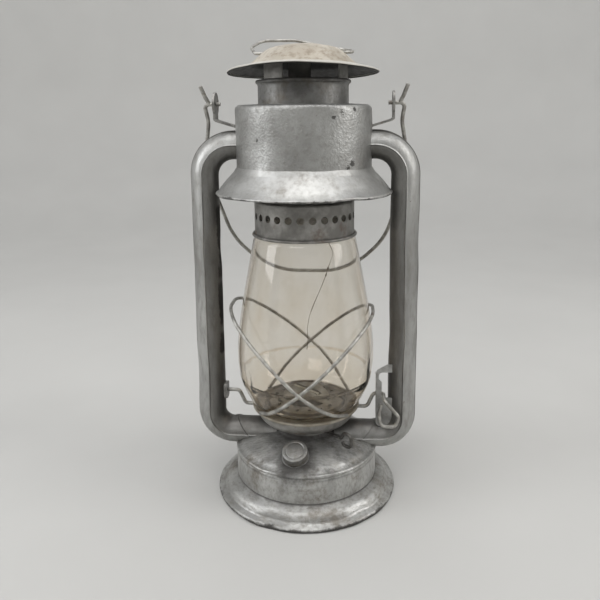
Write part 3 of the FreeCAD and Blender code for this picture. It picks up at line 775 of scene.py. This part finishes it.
# The lever's bracket: a plate of tinplate soldered to the right tube, arched at its top and open behind
# the lever's finger loop, with a flange turned back along its inner edge that the lever turns in.
bracket_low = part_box("lift_bracket_right")[0]
spine_x, plate_y = bracket_low.x / mm, bracket_low.y / mm
lever_z = bracket_low.z / mm + 27.5
tin_deep = 1.2


def flat_plate(name, outlines, thickness, turned=False):
    """Plate filled between outlines of (across, height) points; turned stands it along Y."""
    flat = bpy.data.curves.new(name, "CURVE")
    flat.dimensions = "2D"
    flat.fill_mode = "BOTH"
    flat.extrude = (thickness / 2 - 0.15) * mm
    flat.bevel_depth = 0.15 * mm
    for outline in outlines:
        run = flat.splines.new("POLY")
        run.points.add(len(outline) - 1)
        run.use_cyclic_u = True
        for point, (across, height) in zip(run.points, outline):
            point.co = (across * mm, height * mm, 0, 1)
    made = bpy.data.objects.new(name, flat)
    scene.collection.objects.link(made)
    nothing_selected()
    bpy.context.view_layer.objects.active = made
    made.select_set(True)
    bpy.ops.object.convert(target="MESH")
    made = bpy.context.object
    made.data.transform(Matrix.Rotation(math.pi / 2, 4, "X"))
    if turned:
        made.data.transform(Matrix.Rotation(math.pi / 2, 4, "Z"))
    return made


plate_outline = soften([(0, -22), (0, -27.5), (12.5, -27.5), (13.4, -24), (13.4, -3.4), (4.3, -3.4),
                        (4.3, 9.6), (2.0, 12.2), (2.0, 17.9), (13.4, 18.4), (13.4, 24.5), (9, 24.5),
                        (0.8, 19.6), (0, 0), (0, -22)],
                       [4.5, 3, 0, 0, 1.5, 1, 1, 3.6, 0, 0, 3, 1.5, 0])[:-1]
plate = flat_plate("bracket_plate", [plate_outline], tin_deep)
plate.data.transform(Matrix.Translation(Vector((spine_x, plate_y + tin_deep / 2, lever_z)) * mm))
hole_r, hole_out = 1.6, 7.0
hole = []
for step in range(16):
    turn = step * math.pi / 8
    hole.append((hole_out + hole_r * math.cos(turn), hole_r * math.sin(turn)))
flange_outline = [(0, -22), (11, -19), (11, 14), (0, 17)]
flange = flat_plate("bracket_flange", [flange_outline, hole], tin_deep, True)
flange.data.transform(Matrix.Translation(Vector((spine_x + tin_deep / 2, plate_y, lever_z)) * mm))
bracket_paint = silver_paint("bracket_paint", 0.42, 0.5, None, 0.4, (1, 1, 1), 0.5)
for piece in (plate, flange):
    smooth(outwards(piece), 40)
dress(plate, bracket_paint, "frame", ["lift_bracket_right"])
dress(flange, bracket_paint, "frame", [])


# The wires and small metal: guard hoops, bail, ring, lever, key, brackets and straps, of painted or
# bare steel wire and strip, and the burner of old brass.
def metal(name, dark, light, metallic, roughness, rust=0.3, scale=120):
    """Mottled wire, strip or cloth between two colours, with patches of rust."""
    paint = Paint(name)
    mottle = paint.noise(scale, 5, 0.6)
    rusty = paint.ramp(paint.noise(scale * 0.6, 6, 0.66), 0.56, 0.68) * rust
    colour = paint.mix(paint.ramp(mottle, 0.35, 0.68), dark, light)
    colour = paint.mix(rusty, colour, (0.115, 0.062, 0.035, 1))
    return paint.feed(Base_Color=colour, Metallic=metallic - rusty * 0.6,
                      Roughness=roughness + rusty * 0.3 + paint.ramp(mottle, 0.3, 0.7) * 0.1,
                      Normal=paint.bump(paint.noise(scale * 4, 3), 0.3, 0.0003))


finishes = {
    "guard_wire": metal("dull_wire", (0.26, 0.25, 0.23, 1), (0.50, 0.49, 0.455, 1), 0.6, 0.36, 0.5, 160),
    "dark_steel": metal("dark_steel", (0.17, 0.165, 0.155, 1), (0.36, 0.35, 0.33, 1), 0.7, 0.42, 0.5),
    "sooty_tin": metal("smoked_tin", (0.17, 0.164, 0.152, 1), (0.35, 0.342, 0.322, 1), 0.65, 0.43, 0.6, 60),
    "old_brass": metal("old_brass", (0.21, 0.18, 0.14, 1), (0.37, 0.33, 0.27, 1), 0.6, 0.45, 0.4),
    "silver_paint": silver_paint("small_silver", 0.34, 0.6),
    "heated_hood": heat.material,
    "globe_glass": glass.material,
    "wick_cotton": metal("wick_cotton", (0.42, 0.38, 0.30, 1), (0.62, 0.58, 0.48, 1), 0.0, 0.95, 0.0, 500),
    "gasket": metal("gasket_rubber", (0.03, 0.028, 0.026, 1), (0.05, 0.048, 0.045, 1), 0.0, 0.8, 0.0),
}
deck_tin = metal("browned_deck", (0.24, 0.21, 0.165, 1), (0.42, 0.39, 0.33, 1), 0.45, 0.5, 0.5, 70)
oily_steel = metal("oily_steel", (0.07, 0.066, 0.06, 1), (0.17, 0.165, 0.155, 1), 0.7, 0.42, 0.5)
own_finish = {"globe_plate": deck_tin, "burner_cone": deck_tin, "bail": finishes["guard_wire"],
              "wick_spindle": oily_steel}
for subpart in frame["record"]["subparts"]:
    node = subpart["node"]
    dress(nodes[node], own_finish.get(node, finishes[subpart["material_slot"]]))
